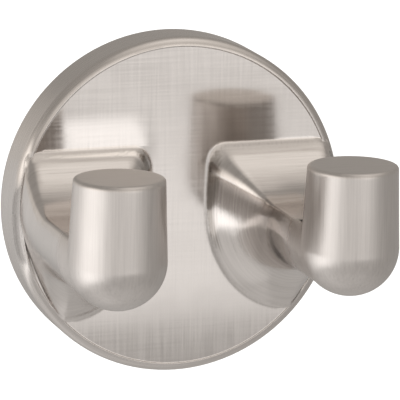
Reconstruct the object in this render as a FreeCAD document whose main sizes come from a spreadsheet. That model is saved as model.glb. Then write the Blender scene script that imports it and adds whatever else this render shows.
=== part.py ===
"""Double robe hook: a round plate with two flared arms and upright ends, its wall bracket and its set screw.

Frame: +Z up, +Y into the wall, Y = 0 on the wall, X = Z = 0 at the plate's centre. Millimetres.
"""
import FreeCAD, Part
import math
import os

import Sketcher

# Driving sizes. "back" is towards the wall, "front" away from it, "inner" towards the plate's centre line.
SIZES = (
    ("plate_radius", 38.0),
    ("plate_depth", 10.8),
    ("rim_round", 2.0),
    ("bead_width", 2.0),
    ("bead_height", 0.15),
    ("rim_wall", 3.4),
    ("face_wall", 2.85),
    ("cavity_round", 1.5),
    ("arm_offset", 26.1),
    ("arm_length", 39.6),
    ("end_radius", 10.64),
    ("end_taper", 0.82),
    ("end_ball_height", -1.8),
    ("end_height", 18.2),
    ("end_lean", 3.1),
    ("end_trim", 2.0),
    ("end_round", 0.8),
    ("neck_inset", 0.2),
    ("neck_lower", 0.4),
    ("neck_top", 2.7),
    ("neck_drop", 10.0),
    ("neck_lean", 0.42),
    ("root_sink", 0.12),
    ("root_inset", 1.4),
    ("root_fullness", 0.2),
    ("inner_root_lean", 0.06),
    ("outer_root_lean", 0.2),
    ("flare_reach", 17.0),
    ("flare_inner", 9.2),
    ("flare_top", 9.9),
    ("flare_waist_rise", 2.4),
    ("flare_drop", 14.9),
    ("fold_reach", 2.0),
    ("fold_inner", 0.8),
    ("fold_top", 2.4),
    ("fold_bottom", 0.8),
    ("inner_edge_width", 0.4),
    ("inner_edge_width_growth", 3.2),
    ("inner_edge_depth", 0.4),
    ("inner_edge_depth_growth", 4.5),
    ("outer_edge_round", 0.7),
    ("outer_edge_growth", 2.3),
    ("bracket_gap", 0.6),
    ("bracket_front_gap", 1.8),
    ("bracket_undercut", 1.8),
    ("bracket_web", 2.4),
    ("bracket_wall", 2.6),
    ("bolt_spacing", 40.0),
    ("bolt_hole_radius", 2.4),
    ("screw_radius", 2.0),
    ("screw_gap", 0.05),
    ("screw_inset", 1.7),
    ("screw_recess", 0.4),
    ("screw_tip_radius", 1.1),
    ("screw_tip_length", 0.9),
    ("screw_socket_radius", 1.15),
    ("screw_socket_depth", 1.8),
)

FRONT = FreeCAD.Vector(0, -1, 0)
UP = FreeCAD.Vector(0, 0, 1)
ACROSS = FreeCAD.Vector(1, 0, 0)

doc = FreeCAD.newDocument("double_robe_hook")
sheet = doc.addObject("Spreadsheet::Sheet", "sizes")
for row, (alias, value) in enumerate(SIZES, start=1):
    sheet.set(f"A{row}", alias)
    sheet.set(f"B{row}", str(value))
    sheet.setAlias(f"B{row}", alias)
doc.recompute()


def size(alias):
    """The sheet's value of one driving size."""
    return float(sheet.get(alias))


def bind(item, **expressions):
    """Bind properties of an object to the sheet; two underscores in a name stand for a dot."""
    for name, expression in expressions.items():
        item.setExpression(name.replace("__", "."), expression)


def new_body(label):
    body = doc.addObject("PartDesign::Body", label)
    body.Label = label
    return body


def circle_sketch(body, name, radius, height="0", centres=(("0", "0"),), plane="XZ_Plane"):
    """Circles of one radius at some height over one of the body's planes, by default over the wall."""
    sketch = body.newObject("Sketcher::SketchObject", name)
    support = next(item for item in body.Origin.OriginFeatures if item.Role == plane)
    sketch.AttachmentSupport = [(support, "")]
    sketch.MapMode = "FlatFace"
    bind(sketch, AttachmentOffset__Base__z=height)
    for index, (across, up) in enumerate(centres):
        start = FreeCAD.Vector(index, index, 0)
        sketch.addGeometry(Part.Circle(start, UP, 1), False)
        for kind, expression in (("DistanceX", across), ("DistanceY", up)):
            row = sketch.addConstraint(Sketcher.Constraint(kind, -1, 1, index, 3, index))
            sketch.setExpression(f"Constraints[{row}]", expression)
        row = sketch.addConstraint(Sketcher.Constraint("Radius", index, 1))
        sketch.setExpression(f"Constraints[{row}]", radius)
    return sketch


def pocket(body, name, sketch, length, forward):
    """Cut a sketch's outline out of the body, forward along the sketch's normal or back against it."""
    cut = body.newObject("PartDesign::Pocket", name)
    cut.Profile = sketch
    cut.Reversed = forward
    bind(cut, Length=length)
    return cut


def circles_at(shape, radius, place, along):
    """Names of the circular edges of one radius at one place along an axis."""
    names = []
    for index, edge in enumerate(shape.Edges, start=1):
        if edge.Degenerated or not isinstance(edge.Curve, Part.Circle):
            continue
        same_radius = abs(edge.Curve.Radius - radius) < 1e-4
        if same_radius and abs(edge.Curve.Center.dot(along) - place) < 1e-4:
            names.append(f"Edge{index}")
    return names


def highest_edge(shape):
    """Name of the edge whose middle is highest."""
    heights = {}
    for index, edge in enumerate(shape.Edges, start=1):
        if not edge.Degenerated:
            heights[f"Edge{index}"] = edge.CenterOfMass.dot(UP)
    return max(heights, key=heights.get)


def round_edges(body, name, base, edges, radius):
    fillet = body.newObject("PartDesign::Fillet", name)
    fillet.Base = (base, edges)
    bind(fillet, Radius=radius)
    return fillet


FACE_DEPTH = "(sizes.plate_depth - sizes.bead_height)"
CAVITY_RADIUS = "(sizes.plate_radius - sizes.rim_wall)"
CAVITY_DEPTH = f"({FACE_DEPTH} - sizes.face_wall)"
BRACKET_RADIUS = f"({CAVITY_RADIUS} - sizes.bracket_gap)"
BRACKET_DEPTH = f"({CAVITY_DEPTH} - sizes.bracket_front_gap)"
SCREW_DEPTH = f"({BRACKET_DEPTH} - sizes.screw_inset)"


def make_plate():
    """The cup: a disc with a rounded front edge, a face sunk a little inside a bead, and a hollow back."""
    body = new_body("plate")
    pad = body.newObject("PartDesign::Pad", "plate_disc")
    pad.Profile = circle_sketch(body, "plate_outline", "sizes.plate_radius")
    bind(pad, Length="sizes.plate_depth")
    doc.recompute()
    rim = circles_at(pad.Shape, size("plate_radius"), size("plate_depth"), FRONT)
    round_edges(body, "rim_edge", pad, rim, "sizes.rim_round")
    face_radius = "sizes.plate_radius - sizes.bead_width"
    face = circle_sketch(body, "face_outline", face_radius, "sizes.plate_depth")
    pocket(body, "face", face, "sizes.bead_height", forward=False)
    back = circle_sketch(body, "cavity_outline", CAVITY_RADIUS)
    hollow = pocket(body, "cavity", back, CAVITY_DEPTH, forward=True)
    doc.recompute()
    cavity_radius = size("plate_radius") - size("rim_wall")
    cavity_depth = size("plate_depth") - size("bead_height") - size("face_wall")
    floor = circles_at(hollow.Shape, cavity_radius, cavity_depth, FRONT)
    round_edges(body, "cavity_edge", hollow, floor, "sizes.cavity_round")
    return body


ROUND = math.sqrt(0.5)
STRAIGHT = 1.0


def arm_outline(front, spread, fold):
    """The bends of the arm's outline at one station, some way in front of its root.

    spread runs from 0 at the neck towards 1 at the root, and fold from 0 to 1 where the arm folds out into
    the face. A bend is its start, its corner, its end and its fullness: a square corner at the fullness
    ROUND gives a quarter of an ellipse, and a smaller fullness a flatter bend.
    """
    def flared(neck, root):
        return neck * (1 - spread) + root * spread

    middle = size("arm_offset")
    half_width = size("end_radius") - size("neck_inset")
    inner = middle - half_width - size("flare_inner") * spread - size("fold_inner") * fold
    outer = flared(middle + half_width, size("plate_radius") - size("root_inset"))
    top = size("neck_top") + size("flare_top") * spread + size("fold_top") * fold
    waist = size("end_ball_height") - size("neck_lower") + size("flare_waist_rise") * spread
    bottom = waist - size("neck_drop") - size("flare_drop") * spread - size("fold_bottom") * fold
    inner_shoulder = top - size("inner_edge_depth") - size("inner_edge_depth_growth") * spread
    inner_lean = flared(size("neck_lean"), size("inner_root_lean"))
    inner_corner = inner + inner_lean * (top - (waist + inner_shoulder) / 2)
    inner_edge = inner_corner + size("inner_edge_width") + size("inner_edge_width_growth") * spread
    outer_round = size("outer_edge_round") + size("outer_edge_growth") * spread
    outer_shoulder = top - outer_round
    outer_lean = flared(size("neck_lean"), size("outer_root_lean"))
    outer_corner = outer - outer_lean * (top - (waist + outer_shoulder) / 2)
    root = size("plate_depth") - size("bead_height") - size("root_sink")

    def at(across, up):
        return FreeCAD.Vector(across, -root - front, up)

    def flank(side, lean, shoulder):
        """The upper flank: upright at the waist, and leaning over the arm at its shoulder."""
        half_height = (shoulder - waist) / 2
        return at(side, waist), at(side, waist + half_height), at(side + lean * half_height, shoulder)

    inner_flank = flank(inner, inner_lean, inner_shoulder)
    outer_flank = flank(outer, -outer_lean, outer_shoulder)
    inner_end = at(inner_edge, top)
    outer_end = at(outer_corner - outer_round, top)
    lowest = at(middle, bottom)
    return [
        (inner_end, (inner_end + outer_end) / 2, outer_end, STRAIGHT),
        (outer_end, at(outer_corner, top), outer_flank[2], ROUND),
        (*reversed(outer_flank), STRAIGHT),
        (outer_flank[0], at(outer, bottom), lowest, flared(ROUND, size("root_fullness"))),
        (lowest, at(inner, bottom), inner_flank[0], ROUND),
        (*inner_flank, STRAIGHT),
        (inner_flank[2], at(inner_corner, top), inner_end, ROUND),
    ]


def arm_skin(outlines, fullnesses):
    """Faces through the first and last of two or three outlines; a middle one is the corner of a bend."""
    degree = len(outlines) - 1
    ends = [degree + 1, degree + 1]
    faces = []
    for bends in zip(*outlines):
        poles = [[bend[index] for bend in bends] for index in range(3)]
        weights = [
            list(fullnesses),
            [bend[3] * fullness for bend, fullness in zip(bends, fullnesses)],
            list(fullnesses),
        ]
        surface = Part.BSplineSurface()
        surface.buildFromPolesMultsKnots(
            poles, [3, 3], ends, [0.0, 1.0], [0.0, 1.0], False, False, 2, degree, weights)
        faces.append(surface.toShape())
    return faces


def arm_cap(outline):
    """The flat face inside one outline."""
    edges = []
    for start, corner, end, fullness in outline:
        curve = Part.BSplineCurve()
        curve.buildFromPolesMultsKnots(
            [start, corner, end], [3, 3], [0.0, 1.0], False, 2, [1.0, fullness, 1.0])
        edges.append(curve.toShape())
    return Part.Face(Part.Wire(edges))


def make_arm():
    """One arm: a root in the plate, a fold into the face, a flare along a parabola, a straight neck."""
    fold_reach = size("fold_reach")
    flare_reach = size("flare_reach")
    fold_share = fold_reach / flare_reach
    fold_spread = (1 - fold_share) ** 2
    root_spread = fold_spread + 2 * fold_share * (1 - fold_share)
    back = arm_outline(-size("rim_round"), root_spread, 1)
    root = arm_outline(0, root_spread, 1)
    fold_corner = arm_outline(0, root_spread, 0)
    fold_end = arm_outline(fold_reach, fold_spread, 0)
    flare_corner = arm_outline((fold_reach + flare_reach) / 2, 0, 0)
    neck = arm_outline(flare_reach, 0, 0)
    end = arm_outline(size("arm_length") + size("root_sink"), 0, 0)
    faces = [arm_cap(back), arm_cap(end)]
    faces += arm_skin([back, root], [1.0, 1.0])
    faces += arm_skin([root, fold_corner, fold_end], [1.0, ROUND, 1.0])
    faces += arm_skin([fold_end, flare_corner, neck], [1.0, 1.0, 1.0])
    faces += arm_skin([neck, end], [1.0, 1.0])
    skin = Part.makeCompound(faces)
    skin.sewShape()
    arm = doc.addObject("Part::Feature", "arm")
    arm.Shape = Part.Solid(skin.Shells[0])
    return arm


def make_end():
    """The upright end: a round bottom, a tapered post leaning away from the wall, and a level top."""
    body = new_body("end")
    ball = body.newObject("PartDesign::AdditiveSphere", "end_ball")
    bind(ball, Radius="sizes.end_radius", Placement__Base__z="sizes.end_ball_height")
    post = body.newObject("PartDesign::AdditiveCone", "end_post")
    post.Placement = FreeCAD.Placement(FreeCAD.Vector(), FreeCAD.Rotation(ACROSS, size("end_lean")))
    post_length = "(sizes.end_height + sizes.end_trim)"
    bind(
        post,
        Radius1="sizes.end_radius",
        Radius2=f"sizes.end_radius - sizes.end_taper * {post_length} / sizes.end_height",
        Height=post_length,
        Placement__Base__z="sizes.end_ball_height",
        Placement__Rotation__Angle="sizes.end_lean",
    )
    top_height = "sizes.end_ball_height + sizes.end_height"
    level = circle_sketch(body, "end_top_outline", "2 * sizes.end_radius", top_height, plane="XY_Plane")
    cut = pocket(body, "end_top", level, "2 * sizes.end_trim", forward=True)
    doc.recompute()
    round_edges(body, "end_edge", cut, [highest_edge(cut.Shape)], "sizes.end_round")
    bind(
        body,
        Placement__Base__x="sizes.arm_offset",
        Placement__Base__y=f"-{FACE_DEPTH} - sizes.arm_length",
    )
    return body


def make_hook_body():
    """The casting: plate, two mirrored hooks, and the set screw's hole in the rim's underside."""
    plate = make_plate()
    hook = doc.addObject("Part::Fuse", "hook")
    hook.Base = make_arm()
    hook.Tool = make_end()
    mirrored = doc.addObject("Part::Mirroring", "hook_mirrored")
    mirrored.Source = hook
    mirrored.Normal = ACROSS
    blank = doc.addObject("Part::MultiFuse", "hook_body_blank")
    blank.Shapes = [plate, hook, mirrored]
    blank.Refine = True
    bore = doc.addObject("Part::Cylinder", "screw_hole")
    bind(
        bore,
        Radius="sizes.screw_radius + sizes.screw_gap",
        Height="sizes.plate_radius",
        Placement__Base__y=f"-{SCREW_DEPTH}",
        Placement__Base__z=f"-sizes.plate_radius - {CAVITY_RADIUS} / 2",
    )
    casting = doc.addObject("Part::Cut", "hook_body")
    casting.Base = blank
    casting.Tool = bore
    casting.Label = "hook_body"
    return casting


def make_bracket():
    """The hidden bracket: a dish with an undercut edge and two screw holes, its back on the wall."""
    body = new_body("wall_bracket")
    dish = body.newObject("PartDesign::AdditiveCone", "bracket_dish")
    dish.Placement = FreeCAD.Placement(FreeCAD.Vector(), FreeCAD.Rotation(ACROSS, 90))
    back_radius = f"{BRACKET_RADIUS} - sizes.bracket_undercut"
    bind(dish, Radius1=back_radius, Radius2=BRACKET_RADIUS, Height=BRACKET_DEPTH)
    hollow_radius = f"{back_radius} - sizes.bracket_wall"
    hollow = circle_sketch(body, "bracket_hollow_outline", hollow_radius, BRACKET_DEPTH)
    pocket(body, "bracket_hollow", hollow, f"{BRACKET_DEPTH} - sizes.bracket_web", forward=False)
    ends = (("0", "sizes.bolt_spacing / 2"), ("0", "-sizes.bolt_spacing / 2"))
    bolts = circle_sketch(body, "bolt_hole_outlines", "sizes.bolt_hole_radius", centres=ends)
    pocket(body, "bolt_holes", bolts, BRACKET_DEPTH, forward=True)
    return body


def make_set_screw():
    """The set screw: a stud with a flat-ended point that bears on the bracket's edge, and a hex socket."""
    body = new_body("set_screw")
    slope = f"sizes.bracket_undercut / {BRACKET_DEPTH}"
    bearing = f"{BRACKET_RADIUS} - {slope} * (sizes.screw_inset - sizes.screw_tip_radius) + sizes.screw_gap"
    stud_length = f"sizes.plate_radius - sizes.screw_recess - sizes.screw_tip_length - ({bearing})"
    stud = body.newObject("PartDesign::AdditiveCylinder", "screw_stud")
    bind(stud, Radius="sizes.screw_radius", Height=stud_length)
    point = body.newObject("PartDesign::AdditiveCone", "screw_point")
    bind(
        point,
        Radius1="sizes.screw_radius",
        Radius2="sizes.screw_tip_radius",
        Height="sizes.screw_tip_length",
        Placement__Base__z=stud_length,
    )
    socket = body.newObject("PartDesign::SubtractivePrism", "screw_socket")
    socket.Polygon = 6
    bind(socket, Circumradius="sizes.screw_socket_radius", Height="sizes.screw_socket_depth")
    bind(
        body,
        Placement__Base__y=f"-{SCREW_DEPTH}",
        Placement__Base__z="sizes.screw_recess - sizes.plate_radius",
    )
    return body


parts = [make_hook_body(), make_bracket(), make_set_screw()]
doc.recompute()

for item in doc.Objects:
    if "Invalid" in item.State or "Error" in item.State:
        raise RuntimeError(f"{item.Label} did not build: {item.State}")
for item in parts:
    if item.Shape.isNull() or not item.Shape.isValid() or len(item.Shape.Solids) != 1:
        raise RuntimeError(f"{item.Label} is not one valid solid")

os.makedirs("parts", exist_ok=True)
for item in parts:
    item.Shape.exportStep(f"parts/{item.Label}.step")
    box = item.Shape.BoundBox
    print(item.Label, round(item.Shape.Volume, 1), "mm3", [round(value, 2) for value in (
        box.XMin, box.XMax, box.YMin, box.YMax, box.ZMin, box.ZMax)])
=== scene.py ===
"""Looks of the double robe hook: satin nickel casting, zinc-plated bracket, steel set screw, white studio."""

import math
from collections import namedtuple

import bmesh
import bpy
from mathutils import Matrix, Vector

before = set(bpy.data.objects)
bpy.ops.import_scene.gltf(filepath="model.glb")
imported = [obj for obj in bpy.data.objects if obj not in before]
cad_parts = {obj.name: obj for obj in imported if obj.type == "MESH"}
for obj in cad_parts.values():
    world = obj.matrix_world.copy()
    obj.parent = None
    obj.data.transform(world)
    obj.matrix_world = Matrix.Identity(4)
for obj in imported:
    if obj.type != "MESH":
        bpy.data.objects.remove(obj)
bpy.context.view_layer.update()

MM = 0.001


def mm(*sizes):
    return tuple(size * MM for size in sizes)


# Zones of the casting. A pair says where a zone begins and where it is in full. "Ahead" counts forward from the
# plate's face, "side" from the middle to either side, "radius" from the plate's axis.
FACE_DEPTH = 10.65 * MM
RIM_RADIUS = 38 * MM
ARM_AHEAD = mm(0.1, 1.0)
END_AHEAD = mm(27, 31)
TOP_HEIGHT = mm(15.6, 16.2)
RIM_RADII = mm(35.8, 36.1)
RIM_AHEAD = mm(0.4, 0.2)

# Brush lines, in millimetres; the face has crossed lines, with this share of level ones from low to high.
LINE_WIDTH = 0.4
LINE_LENGTH = 14.0
HATCH_HEIGHT = mm(-30, 20)
HATCH_SHARE = (0.3, 0.5)
UPRIGHT = (0.0, 0.0, 1.0)
SIDEWAYS = (1.0, 0.0, 0.0)
PLATE_AXIS = (0.0, 1.0, 0.0)
NOISE_RANGE = (0.3, 0.7)

# Roughness of each zone, and how it varies over the lines and over patches of this size in millimetres.
ROUGHNESS = {"face": 0.10, "arm": 0.16, "end": 0.34, "top": 0.36, "rim": 0.26}
LINE_ROUGHNESS = (-0.02, 0.03)
PATCH_ROUGHNESS = (-0.015, 0.015)
PATCH_SIZE = 7.0

# Colours: a painted shade in the nooks and round the arms' roots, and the nickel between the brush lines and on
# them. The painted shade in the nooks at the arms' roots is darker above.
NICKEL_AND_PAINTED_SHADE_TONES = (
    (0.0, (0.36, 0.33, 0.305, 1)),
    (0.3, (0.602, 0.565, 0.54, 1)),
    (0.7, (0.672, 0.632, 0.605, 1)),
)
PAINTED_SHADE_SHIFT = -0.5
NOOK_REACH = 4.0 * MM
NOOK_OPENNESS = (0.96, 0.76)
NOOK_HEIGHT = mm(-16, -5)
NOOK_SHARE = (0.4, 0.9)
NOOK_RADII = mm(34.5, 33.0)
# A painted shade in a ring on the upward-facing surfaces round the arms' roots.
ROOT_RING_START = mm(0.05, 0.35)
ROOT_RING_END = mm(3.0, 0.5)
ROOT_RING_HEIGHT = mm(-14, -5)
ROOT_RING_FACING_UP = (0.45, 0.15)

# Relief: the depth of the lines, the crown of the face (per metre) and the swell above the left arm.
LINE_DEPTH = {"face": 0.0015 * MM, "arm": 0.008 * MM, "rim": 0.01 * MM}
FACE_CROWN = -0.12
SWELL_RISE = 0.4 * MM
SWELL_SLOPE = mm(24, 14)
SWELL_FOOT = mm(6, 13)
SWELL_RIGHT = mm(4, 12)
SWELL_LEFT = mm(36, 33)

# Radii that the shading rounds edges to: the arms' roots are softer than the rest of the arms.
FACE_EDGE = 1.0 * MM
ROOT_EDGE = 2.0 * MM
ARM_EDGE = 0.5 * MM
END_EDGE = 1.2 * MM
RIM_EDGE = 0.3 * MM
ROOT_AHEAD = mm(6, 15)
RIM_EDGE_RADII = mm(34, 35)
RIM_EDGE_AHEAD = mm(1.2, 0.6)
RIM_EDGE_BESIDE_ARM = (0.3, 0.0)
SHADING_SAMPLES = 8

# The bead beside the arms, shaded with this share of the rim wall's direction.
BEAD_SHARE = 0.85
BEAD_SIDE = mm(29, 34)
BEAD_RADII = mm(35.4, 36.0)
BEAD_TOP = mm(13, 2)
BEAD_BOTTOM = mm(-18, -6)
BEAD_AHEAD = mm(1.6, 0.8)
BEAD_FACING_OUT = (0.0, 0.3)

# The arms' inner flanks, shaded with a small lean from the root to the end.
FLANK_SIDE = mm(24, 18)
FLANK_START = mm(0.3, 2.0)
FLANK_END = mm(30, 24)
FLANK_TOP = mm(8, 5)
FLANK_BOTTOM = mm(-16, -8)
LEAN_AHEAD = mm(4, 11)
LEAN = (-0.085, -0.14)


# Materials

# Numbers of the Mix node's inputs (share, first, second) and of its output, for each kind of value.
MIX_SOCKETS = {"FLOAT": ((0, 2, 3), 0), "VECTOR": ((0, 4, 5), 1)}


class Finish:
    """A material with its shader, and short calls that add and join its nodes."""

    library = bpy.data.materials
    shader_type = "BSDF_PRINCIPLED"

    def __init__(self, name):
        self.material = self.library.new(name)
        self.material.use_nodes = True
        nodes = self.material.node_tree.nodes
        self.shader = next(node for node in nodes if node.type == self.shader_type)

    def set(self, **values):
        """Puts constants on the shader."""
        for name, value in values.items():
            self.shader.inputs[name.replace("_", " ")].default_value = value

    def drive(self, name, output):
        """Joins a node's output to the shader."""
        self.feed(self.shader.inputs[name], output)

    def feed(self, socket, value):
        """Puts a number, a vector or another node's output into a socket."""
        if isinstance(value, bpy.types.NodeSocket):
            self.material.node_tree.links.new(value, socket)
        else:
            socket.default_value = value

    def node(self, kind, *inputs, **settings):
        """A node with its settings and its first inputs."""
        node = self.material.node_tree.nodes.new("ShaderNode" + kind)
        for key, value in settings.items():
            setattr(node, key, value)
        for socket, value in zip(node.inputs, inputs):
            self.feed(socket, value)
        return node

    def math(self, operation, *inputs):
        return self.node("Math", *inputs, operation=operation).outputs[0]

    def product(self, first, *others):
        for other in others:
            first = self.math("MULTIPLY", first, other)
        return first

    def vector(self, operation, *inputs):
        return self.node("VectorMath", *inputs, operation=operation).outputs[0]

    def dot(self, first, second):
        return self.node("VectorMath", first, second, operation="DOT_PRODUCT").outputs["Value"]

    def length(self, vector):
        return self.node("VectorMath", vector, operation="LENGTH").outputs["Value"]

    def ramp(self, value, start, end, low=0.0, high=1.0, shape="SMOOTHSTEP"):
        """A step from low at start to high at end, smooth unless its shape says otherwise."""
        return self.node("MapRange", value, start, end, low, high, interpolation_type=shape).outputs[0]

    def mask(self, *limits):
        """The product of smooth steps; each limit is a value and the pair where its step starts and ends."""
        return self.product(*(self.ramp(value, *pair) for value, pair in limits))

    def blend(self, share, first, second, data_type="FLOAT"):
        """A value that goes from first to second as the share goes from 0 to 1."""
        node = self.node("Mix", data_type=data_type)
        inputs, output = MIX_SOCKETS[data_type]
        for index, value in zip(inputs, (share, first, second)):
            self.feed(node.inputs[index], value)
        return node.outputs[output]

    def tones(self, value, first, *others):
        """A ramp of colours; each stop is a position and a colour."""
        ramp = self.node("ValToRGB", value)
        stops = ramp.color_ramp.elements
        stops.remove(stops[1])
        stops[0].position, stops[0].color = first
        for position, colour in others:
            stops.new(position).color = colour
        return ramp.outputs[0]

    def place(self):
        return self.node("TexCoord").outputs["Object"]

    def noise(self, place, sizes, detail=2.0):
        """Noise whose grains have these (X, Y, Z) sizes in millimetres."""
        mapping = self.node("Mapping", place)
        mapping.inputs["Scale"].default_value = [1 / (size * MM) for size in sizes]
        texture = self.node("TexNoise", mapping.outputs[0])
        texture.inputs["Scale"].default_value = 1.0
        texture.inputs["Detail"].default_value = detail
        return texture.outputs[0]


class Room(Finish):
    """The studio's surroundings, with the same short calls."""

    library = bpy.data.worlds
    shader_type = "BACKGROUND"


class Casting:
    """Where a point of the casting lies and how far it belongs to each zone, as outputs of nodes."""

    def __init__(self, finish):
        self.finish = finish
        self.place = finish.place()
        self.across, self.depth, self.height = finish.node("SeparateXYZ", self.place).outputs
        self.ahead = finish.math("SUBTRACT", finish.math("MULTIPLY", self.depth, -1.0), FACE_DEPTH)
        self.side = finish.math("ABSOLUTE", self.across)
        self.from_axis = finish.node("CombineXYZ", self.across, 0.0, self.height).outputs[0]
        self.radius = finish.length(self.from_axis)
        self.normal = finish.node("NewGeometry").outputs["Normal"]
        self.arm = finish.ramp(self.ahead, *ARM_AHEAD)
        self.end = finish.ramp(self.ahead, *END_AHEAD)
        self.top = finish.product(finish.ramp(self.height, *TOP_HEIGHT), self.end)
        self.rim = finish.mask((self.radius, RIM_RADII), (self.ahead, RIM_AHEAD))

    def by_zone(self, face, data_type="FLOAT", **others):
        """The face's value, blended in turn into the values of the other zones that are named."""
        value = face
        for zone, other in others.items():
            value = self.finish.blend(getattr(self, zone), value, other, data_type)
        return value


def brush_lines(finish, hook):
    """Fine lines: crossed on the face, round the arms and the rim, upright on the ends, across their tops."""
    turn = finish.math("ARCTAN2", hook.height, hook.across)
    along_rim = finish.math("MULTIPLY", turn, RIM_RADIUS)
    round_place = finish.node("CombineXYZ", along_rim, hook.radius, hook.depth).outputs[0]
    upright_lines = finish.noise(hook.place, (LINE_WIDTH, LINE_WIDTH, LINE_LENGTH))
    across_lines = finish.noise(hook.place, (LINE_LENGTH, LINE_WIDTH, LINE_WIDTH))
    girth_lines = finish.noise(hook.place, (LINE_LENGTH, LINE_WIDTH, LINE_LENGTH))
    round_lines = finish.noise(round_place, (LINE_LENGTH, LINE_WIDTH, LINE_WIDTH))
    hatch = finish.ramp(hook.height, *HATCH_HEIGHT, *HATCH_SHARE)
    face_lines = finish.blend(hatch, upright_lines, across_lines)
    return hook.by_zone(face_lines, arm=girth_lines, end=upright_lines, top=across_lines, rim=round_lines)


def brush_tangent(finish, hook):
    """The shader's tangent, square to the brush lines."""
    girth = finish.vector("NORMALIZE", finish.vector("CROSS_PRODUCT", hook.normal, PLATE_AXIS))
    round_rim = finish.vector("NORMALIZE", finish.vector("CROSS_PRODUCT", hook.from_axis, PLATE_AXIS))
    grain = hook.by_zone(UPRIGHT, "VECTOR", arm=girth, end=UPRIGHT, top=SIDEWAYS, rim=round_rim)
    return finish.vector("NORMALIZE", finish.vector("CROSS_PRODUCT", hook.normal, grain))


def brushed_roughness(finish, hook, lines):
    """Each zone's roughness, uneven over the lines and in patches."""
    patches = finish.noise(hook.place, (PATCH_SIZE, PATCH_SIZE, PATCH_SIZE))
    roughness = finish.math("ADD", hook.by_zone(**ROUGHNESS), finish.ramp(lines, *NOISE_RANGE, *LINE_ROUGHNESS))
    return finish.math("ADD", roughness, finish.ramp(patches, *NOISE_RANGE, *PATCH_ROUGHNESS))


def nickel_and_painted_shade(finish, hook, lines):
    """Nickel that is darker between the lines, with painted shade in the nooks and in a ring round the arms'
    roots.
    """
    # Painted shade: the nooks are darkened by their occlusion.
    nook = finish.node("AmbientOcclusion", samples=SHADING_SAMPLES, only_local=True)
    finish.feed(nook.inputs["Distance"], NOOK_REACH)
    share = finish.ramp(hook.height, *NOOK_HEIGHT, *NOOK_SHARE)
    painted_shade = finish.product(finish.ramp(nook.outputs["AO"], *NOOK_OPENNESS), share)
    # Painted shade in a ring on the upward-facing surfaces round the arms' roots.
    facing_up = finish.node("SeparateXYZ", hook.normal).outputs[2]
    painted_ring = finish.mask(
        (hook.ahead, ROOT_RING_START),
        (hook.ahead, ROOT_RING_END),
        (hook.height, ROOT_RING_HEIGHT),
        (facing_up, ROOT_RING_FACING_UP),
    )
    painted_shade = finish.math("MAXIMUM", painted_shade, painted_ring)
    painted_shade = finish.product(painted_shade, finish.ramp(hook.radius, *NOOK_RADII))
    return finish.tones(finish.math("MULTIPLY_ADD", painted_shade, PAINTED_SHADE_SHIFT, lines), *NICKEL_AND_PAINTED_SHADE_TONES)


def soft_edges(finish, hook, beside_arm):
    """The surface's direction with the edges and the roots rounded off."""
    near_rim = finish.mask(
        (hook.radius, RIM_EDGE_RADII),
        (hook.ahead, RIM_EDGE_AHEAD),
        (beside_arm, RIM_EDGE_BESIDE_ARM),
    )
    arm_edge = finish.ramp(hook.ahead, *ROOT_AHEAD, ROOT_EDGE, ARM_EDGE)
    edge = hook.by_zone(FACE_EDGE, arm=arm_edge, end=END_EDGE)
    bevel = finish.node("Bevel", samples=SHADING_SAMPLES)
    finish.feed(bevel.inputs["Radius"], finish.blend(near_rim, edge, RIM_EDGE))
    return bevel.outputs[0]


def soft_bead(finish, hook, beside_arm, normal):
    """The direction with the bead beside the arms turned towards the rim's wall."""
    outward = finish.vector("NORMALIZE", hook.from_axis)
    facing_out = finish.ramp(finish.dot(normal, outward), *BEAD_FACING_OUT)
    share = finish.product(beside_arm, facing_out, BEAD_SHARE)
    return finish.blend(share, normal, outward, "VECTOR")


def leaning_flanks(finish, hook, normal):
    """The direction with the arms' inner flanks leaning down a little, to mirror the floor."""
    flank = finish.mask(
        (hook.side, FLANK_SIDE),
        (hook.ahead, FLANK_START),
        (hook.height, FLANK_TOP),
        (hook.height, FLANK_BOTTOM),
        (hook.ahead, FLANK_END),
    )
    lean = finish.product(flank, finish.ramp(hook.ahead, *LEAN_AHEAD, *LEAN))
    droop = finish.node("CombineXYZ", 0.0, 0.0, lean).outputs[0]
    return finish.vector("NORMALIZE", finish.vector("ADD", normal, droop))


def relief(finish, hook, lines):
    """Heights of the brush lines, of the face's faint crown and of the shallow swell above the left arm."""
    leftward = finish.math("MULTIPLY", hook.across, -1.0)
    slope = finish.ramp(hook.height, *SWELL_SLOPE, shape="LINEAR")
    limits = finish.mask((leftward, SWELL_RIGHT), (leftward, SWELL_LEFT), (hook.height, SWELL_FOOT))
    swell = finish.product(slope, slope, limits, hook.by_zone(SWELL_RISE, arm=0.0))
    crown = finish.product(hook.radius, hook.radius, hook.by_zone(FACE_CROWN, arm=0.0))
    form = finish.math("ADD", swell, crown)
    return finish.math("MULTIPLY_ADD", lines, hook.by_zone(**LINE_DEPTH), form)


def satin_nickel():
    """Brushed nickel for the casting."""
    finish = Finish("satin_nickel")
    finish.set(Metallic=1.0, Anisotropic=0.5)
    hook = Casting(finish)
    lines = brush_lines(finish, hook)
    finish.drive("Tangent", brush_tangent(finish, hook))
    finish.drive("Roughness", brushed_roughness(finish, hook, lines))
    finish.drive("Base Color", nickel_and_painted_shade(finish, hook, lines))
    beside_arm = finish.mask(
        (hook.side, BEAD_SIDE),
        (hook.radius, BEAD_RADII),
        (hook.height, BEAD_TOP),
        (hook.height, BEAD_BOTTOM),
        (hook.ahead, BEAD_AHEAD),
    )
    normal = soft_edges(finish, hook, beside_arm)
    normal = soft_bead(finish, hook, beside_arm, normal)
    normal = leaning_flanks(finish, hook, normal)
    bump = finish.node("Bump")
    finish.feed(bump.inputs["Strength"], 1.0)
    finish.feed(bump.inputs["Distance"], 1.0)
    finish.feed(bump.inputs["Height"], relief(finish, hook, lines))
    finish.feed(bump.inputs["Normal"], normal)
    finish.drive("Normal", bump.outputs[0])
    return finish.material


SPECKLE_STOPS = (0.35, 0.65)


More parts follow.
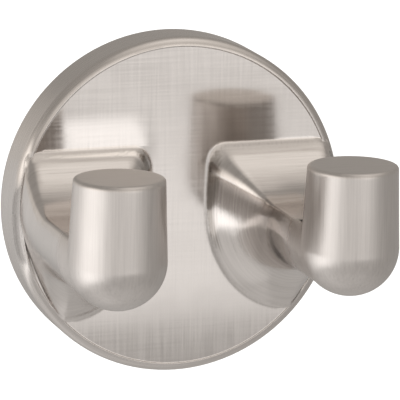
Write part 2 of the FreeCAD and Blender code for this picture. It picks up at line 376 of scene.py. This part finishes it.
def speckled_metal(name, grain, detail, colours, roughness):
    """A metal whose colour and roughness vary over grains of this size in millimetres."""
    finish = Finish(name)
    finish.set(Metallic=1.0)
    speckle = finish.noise(finish.place(), (grain, grain, grain), detail)
    finish.drive("Base Color", finish.tones(speckle, *zip(SPECKLE_STOPS, colours)))
    finish.drive("Roughness", finish.ramp(speckle, *NOISE_RANGE, *roughness))
    return finish.material


def zinc_plate():
    colours = ((0.50, 0.52, 0.56, 1), (0.62, 0.64, 0.66, 1))
    return speckled_metal("zinc_plate", grain=3.0, detail=3.0, colours=colours, roughness=(0.32, 0.48))


def plain_steel():
    colours = ((0.48, 0.48, 0.49, 1), (0.58, 0.58, 0.59, 1))
    return speckled_metal("plain_steel", grain=0.8, detail=4.0, colours=colours, roughness=(0.25, 0.4))


def dress(node, material):
    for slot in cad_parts[node].material_slots:
        slot.material = material


dress("hook_body", satin_nickel())
dress("wall_bracket", zinc_plate())
dress("set_screw", plain_steel())


# Camera

# Angles in degrees, lens and sensor in millimetres, places in metres; the distance is assumed.
CAMERA_AZIMUTH = -18.0805
CAMERA_ELEVATION = 12.6335
CAMERA_ROLL = 0.7894
CAMERA_DISTANCE = 900 * MM
CAMERA_TARGET = mm(-1.3456, -30.0, 5.6172)
CAMERA_LENS = 372.83
CAMERA_SENSOR = 36
CAMERA_SIGHT = 100


def bearing(azimuth, elevation):
    """The direction of a bearing from the front, positive to the right, and a height, both in degrees."""
    turn, rise = math.radians(azimuth), math.radians(elevation)
    return Vector((math.sin(turn) * math.cos(rise), -math.cos(turn) * math.cos(rise), math.sin(rise)))


def photo_camera():
    """A camera at the photo's angle."""
    turn, roll = math.radians(CAMERA_AZIMUTH), math.radians(CAMERA_ROLL)
    back = bearing(CAMERA_AZIMUTH, CAMERA_ELEVATION)
    level_right = Vector((math.cos(turn), math.sin(turn), 0))
    right = level_right * math.cos(roll) + back.cross(level_right) * math.sin(roll)
    pose = Matrix((right, back.cross(right), back)).transposed().to_4x4()
    data = bpy.data.cameras.new("photo_camera")
    data.sensor_width = CAMERA_SENSOR
    data.lens = CAMERA_LENS
    data.clip_end = CAMERA_SIGHT
    camera = bpy.data.objects.new("photo_camera", data)
    bpy.context.scene.collection.objects.link(camera)
    camera.matrix_world = Matrix.Translation(Vector(CAMERA_TARGET) + back * CAMERA_DISTANCE) @ pose
    bpy.context.scene.camera = camera


photo_camera()


# Studio

# Soft lights round the hook: bearing and height in degrees, their half widths inside and outside, their level.
SoftLight = namedtuple("SoftLight", "azimuth elevation inside outside level")
KEY_LIGHT = SoftLight(azimuth=-80, elevation=-16, inside=10, outside=54, level=1.17)
FRONT_LIGHT = SoftLight(azimuth=4, elevation=0, inside=10, outside=50, level=0.46)
# The two pools are painted light in the floor's glow only.
POOL_LIGHT = SoftLight(azimuth=15, elevation=0, inside=3, outside=10, level=0.25)
LEFT_POOL_LIGHT = SoftLight(azimuth=-84, elevation=0, inside=8, outside=26, level=0.3)
FAR_LIGHT = SoftLight(azimuth=20, elevation=0, inside=7, outside=17, level=0.62)
BACK_LIGHT = SoftLight(azimuth=-142, elevation=0, inside=5, outside=33, level=0.35)
TOP_LIGHT = SoftLight(azimuth=45, elevation=62, inside=8, outside=42, level=0.5)
ROOM_LIGHTS = (KEY_LIGHT, FRONT_LIGHT, FAR_LIGHT, TOP_LIGHT, BACK_LIGHT)
FLOOR_LIGHTS = (KEY_LIGHT, FRONT_LIGHT, BACK_LIGHT)
ROOM_LEVEL = 0.4
ROOM_COLOUR = (1.0, 0.95, 0.89, 1)

SOFTBOX_DISTANCE = 1.2
SOFTBOX_WIDTH = 0.5

# The floor, in metres. Pools of light and the far light are painted into its glow at these distances from below
# the hook.
FLOOR_HALF_WIDTH = 20.0
FLOOR_HEIGHT = -0.26
FLOOR_GREY = (0.5, 0.5, 0.5, 1)
WHITE = (1, 1, 1, 1)
POOL_AWAY = (1.7, 1.2)
LEFT_POOL_AWAY = (0.9, 0.65)
FAR_AWAY = (1.6, 2.4)
LAMP_SHARE = 0.25

# The shade under the hook: its middle, its soft edge with a ripple, its own levels and its share of the lights.
SHADE_MIDDLE = (0.27, -0.2, 0.0)
SHADE_EDGE = (0.60, 0.69)
SHADE_RIPPLE = (-0.03, 0.03)
RIPPLE_SIZE = 150.0
SHADE_AWAY = (0.12, 0.4)
SHADE_LEVELS = (0.46, 0.34)
SHADE_LIGHT_SHARE = 0.2


def soft_light(finish, direction, light):
    """One soft light's level in a direction; it falls off smoothly to its outer width."""
    facing = finish.dot(direction, bearing(light.azimuth, light.elevation))
    edge, core = (math.cos(math.radians(width)) for width in (light.outside, light.inside))
    return finish.ramp(facing, edge, core, 0.0, light.level)


def light_level(finish, direction, lights):
    """The room's level with each of the soft lights on it."""
    total = ROOM_LEVEL
    for light in lights:
        total = finish.math("ADD", total, soft_light(finish, direction, light))
    return total


def softbox(name, azimuth, elevation, radiance):
    """A square soft lamp that faces the hook."""
    data = bpy.data.lights.new(name, "AREA")
    data.shape = "SQUARE"
    data.size = SOFTBOX_WIDTH
    data.energy = radiance * math.pi * SOFTBOX_WIDTH ** 2
    lamp = bpy.data.objects.new(name, data)
    out = bearing(azimuth, elevation)
    lamp.location = out * SOFTBOX_DISTANCE
    lamp.rotation_mode = "QUATERNION"
    lamp.rotation_quaternion = out.to_track_quat("Z", "Y")
    lamp.visible_camera = False
    bpy.context.scene.collection.objects.link(lamp)


def painted_floor_glow(finish):
    """How bright the metal sees the floor: a painted glow with the soft lights and pools of light on it, and a
    painted shade under the hook.
    """
    place = finish.place()
    east, north, _ = finish.node("SeparateXYZ", place).outputs
    level_place = finish.node("CombineXYZ", east, north, 0.0).outputs[0]
    away = finish.length(level_place)
    compass = finish.vector("NORMALIZE", level_place)
    lit = light_level(finish, compass, FLOOR_LIGHTS)
    beyond = lit
    for light, reach in ((POOL_LIGHT, POOL_AWAY), (LEFT_POOL_LIGHT, LEFT_POOL_AWAY), (FAR_LIGHT, FAR_AWAY)):
        patch = finish.product(soft_light(finish, compass, light), finish.ramp(away, *reach))
        beyond = finish.math("ADD", beyond, patch)
    below = finish.math("MULTIPLY_ADD", lit, SHADE_LIGHT_SHARE, finish.ramp(away, *SHADE_AWAY, *SHADE_LEVELS))
    ripple = finish.noise(place, (RIPPLE_SIZE, RIPPLE_SIZE, RIPPLE_SIZE))
    ripple = finish.ramp(ripple, *NOISE_RANGE, *SHADE_RIPPLE)
    from_shade = finish.length(finish.vector("SUBTRACT", level_place, SHADE_MIDDLE))
    outside_shade = finish.ramp(finish.math("ADD", from_shade, ripple), *SHADE_EDGE)
    return finish.blend(outside_shade, below, beyond)


def white_floor():
    """A floor well under the hook, white to the camera; the metal sees it lit by the lamps and by a painted
    glow, with pools of light and a shade painted below the hook.
    """
    sheet = bmesh.new()
    bmesh.ops.create_grid(sheet, x_segments=1, y_segments=1, size=FLOOR_HALF_WIDTH)
    bmesh.ops.translate(sheet, verts=sheet.verts, vec=(0, 0, FLOOR_HEIGHT))
    mesh = bpy.data.meshes.new("floor")
    sheet.to_mesh(mesh)
    sheet.free()
    floor = bpy.data.objects.new("floor", mesh)
    bpy.context.scene.collection.objects.link(floor)
    finish = Finish("white_floor")
    finish.set(Roughness=1.0, Specular_IOR_Level=0.0, Base_Color=FLOOR_GREY, Emission_Color=WHITE)
    path = finish.node("LightPath").outputs
    seen = finish.math("MAXIMUM", path["Is Camera Ray"], path["Is Transmission Ray"])
    # Painted light: reflections see the floor glow with painted pools of light and a painted shade under the
    # hook.
    glow = finish.math("SUBTRACT", painted_floor_glow(finish), LAMP_SHARE)
    glow = finish.math("MULTIPLY", glow, path["Is Glossy Ray"])
    finish.drive("Emission Strength", finish.math("ADD", seen, glow))
    mesh.materials.append(finish.material)


def studio():
    """The room's light, two soft lamps and the floor."""
    scene = bpy.context.scene
    room = Room("studio")
    scene.world = room.material
    room.set(Color=ROOM_COLOUR)
    direction = room.node("TexCoord").outputs["Generated"]
    room.drive("Strength", light_level(room, direction, ROOM_LIGHTS))
    softbox("key_softbox", azimuth=-82, elevation=8, radiance=0.25)
    softbox("top_softbox", azimuth=45, elevation=66, radiance=0.2)
    white_floor()
    scene.view_settings.view_transform = "Standard"


studio()
